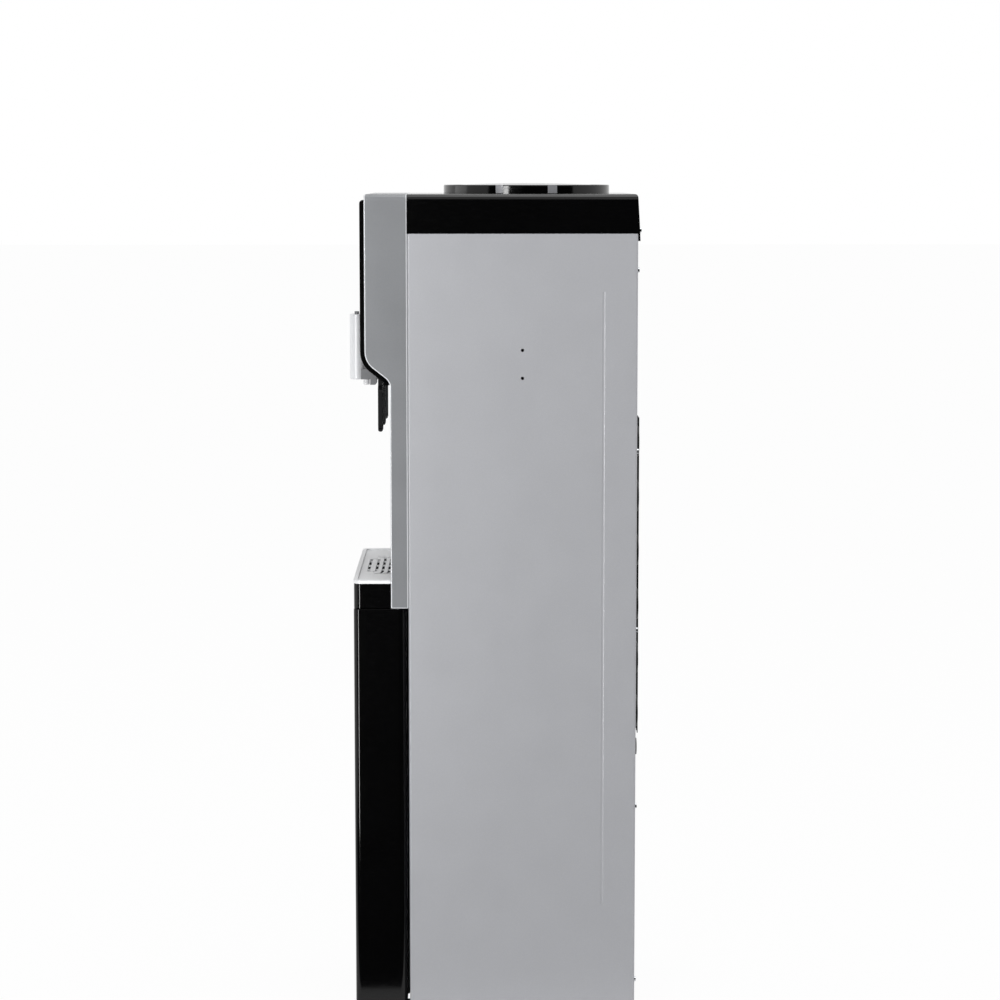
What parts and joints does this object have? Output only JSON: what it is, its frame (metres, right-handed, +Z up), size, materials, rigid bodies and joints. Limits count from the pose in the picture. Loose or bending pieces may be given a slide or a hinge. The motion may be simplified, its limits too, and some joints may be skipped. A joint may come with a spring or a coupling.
{
  "type": "water cooler",
  "caption": "Floor standing bottom load water cooler with lever taps over a drip tray, a hinged bottle cabinet and a round collar with a lid on top.",
  "frame": {"origin": "on the floor, under the middle of the overall depth and width, level with the feet's soles", "axes": "+Z up, the taps and the door face -Y, +X is the right-hand side seen from behind the machine, the side with the door's hinge"},
  "size_m": [0.3, 0.3594, 1.055],
  "materials": {
    "body_grey": "satin",
    "zinc": "matte",
    "base_black": "satin",
    "rubber": "matte",
    "gloss_black": "gloss",
    "insert_grey": "satin",
    "frame_silver": "satin metallic",
    "lens": "clear",
    "ivory_plastic": "satin",
    "board_green": "satin",
    "niche_black": "satin",
    "tray_silver": "satin",
    "tap_silver": "satin",
    "bracket_grey": "satin",
    "nozzle_white": "gloss",
    "lever_black": "satin",
    "steel": "polished",
    "liner_white": "satin",
    "probe_blue": "satin",
    "stainless": "brushed",
    "foam": "matte",
    "silicone": "satin",
    "copper": "satin",
    "rocker_red": "gloss",
    "rocker_green": "gloss"
  },
  "bodies": {
    "cabinet": {"side_panel_left": "body_grey", "side_panel_right": "body_grey", "back_panel": "zinc", "base_pan": "base_black", "levelling_feet": "rubber", "top_cover": "gloss_black", "top_collar": "gloss_black", "collar_inserts": "insert_grey", "front_frame": "frame_silver", "front_panel": "gloss_black", "indicator_lenses": "lens", "control_box": "ivory_plastic", "circuit_board": "board_green", "niche_liner": "niche_black", "tray_housing": "gloss_black", "tap_barrel_left": "tap_silver", "tap_barrel_middle": "tap_silver", "tap_barrel_right": "tap_silver", "tap_bracket_left": "bracket_grey", "tap_bracket_middle": "bracket_grey", "tap_bracket_right": "bracket_grey", "tap_nozzle_left": "nozzle_white", "tap_nozzle_middle": "nozzle_white", "tap_nozzle_right": "nozzle_white", "lever_pins": "steel", "tap_valves": "ivory_plastic", "hinge_pins": "steel", "hinge_bracket": "base_black", "bottle_bay": "liner_white", "probe_holder": "liner_white", "bottle_probe": "probe_blue", "inner_decks": "zinc", "compressor_grommets": "rubber", "compressor": "base_black", "hot_tank_stand": "zinc", "hot_tank": "stainless", "cold_tank_foam": "foam", "cold_tank": "stainless", "tank_neck": "liner_white", "water_pump": "niche_black", "water_hoses": "silicone", "filter_drier": "copper", "refrigerant_pipes": "copper", "condenser_coil": "base_black", "condenser_grid": "base_black", "switch_housings": "niche_black", "drain_fittings": "niche_black", "rear_screws": "steel"},
    "door": {"door_shell": "gloss_black", "door_liner": "liner_white", "door_gasket": "rubber"},
    "lid": {"top_lid": "gloss_black"},
    "drip_basin": {"drip_basin": "niche_black"},
    "tray_cover": {"drip_tray_cover": "tray_silver"},
    "lever_left": {"lever_left": "lever_black"},
    "lever_middle": {"lever_middle": "lever_black"},
    "lever_right": {"lever_right": "lever_black"},
    "lock_button": {"lock_button": "bracket_grey"},
    "rocker_left": {"rocker_left": "rocker_red"},
    "rocker_right": {"rocker_right": "rocker_green"}
  },
  "joints": [
    {"name": "door_hinge", "type": "hinge", "parent": "cabinet", "child": "door", "pos_m": [0.1395, -0.1195, 0.28], "axis": [0, 0, 1], "range_deg": [0, 100]},
    {"name": "lid_lift", "type": "slide", "parent": "cabinet", "child": "lid", "axis": [0, 0, 1], "range_m": [0, 0.04]},
    {"name": "drip_basin_lift", "type": "slide", "parent": "cabinet", "child": "drip_basin", "axis": [0, 0, 1], "range_m": [0, 0.035]},
    {"name": "tray_cover_lift", "type": "slide", "parent": "drip_basin", "child": "tray_cover", "axis": [0, 0, 1], "range_m": [0, 0.03]},
    {"name": "lever_left_hinge", "type": "hinge", "parent": "cabinet", "child": "lever_left", "pos_m": [-0.093, -0.14205, 0.8324], "axis": [1, 0, 0], "range_deg": [0, 8], "stiffness_Nm_per_rad": 0.6, "springref_deg": -3.44},
    {"name": "lever_middle_hinge", "type": "hinge", "parent": "cabinet", "child": "lever_middle", "pos_m": [0, -0.14205, 0.8324], "axis": [1, 0, 0], "range_deg": [0, 8], "stiffness_Nm_per_rad": 0.6, "springref_deg": -3.44},
    {"name": "lever_right_hinge", "type": "hinge", "parent": "cabinet", "child": "lever_right", "pos_m": [0.093, -0.14205, 0.8324], "axis": [1, 0, 0], "range_deg": [0, 8], "stiffness_Nm_per_rad": 0.6, "springref_deg": -3.44},
    {"name": "lock_button_press", "type": "slide", "parent": "cabinet", "child": "lock_button", "axis": [0, 0, -1], "range_m": [0, 0.002], "stiffness_N_per_m": 150, "springref_m": -0.001},
    {"name": "rocker_left_hinge", "type": "hinge", "parent": "cabinet", "child": "rocker_left", "pos_m": [-0.03, 0.172, 0.805], "axis": [1, 0, 0], "range_deg": [-10, 0]},
    {"name": "rocker_right_hinge", "type": "hinge", "parent": "cabinet", "child": "rocker_right", "pos_m": [0.03, 0.172, 0.805], "axis": [1, 0, 0], "range_deg": [-10, 0]}
  ]
}
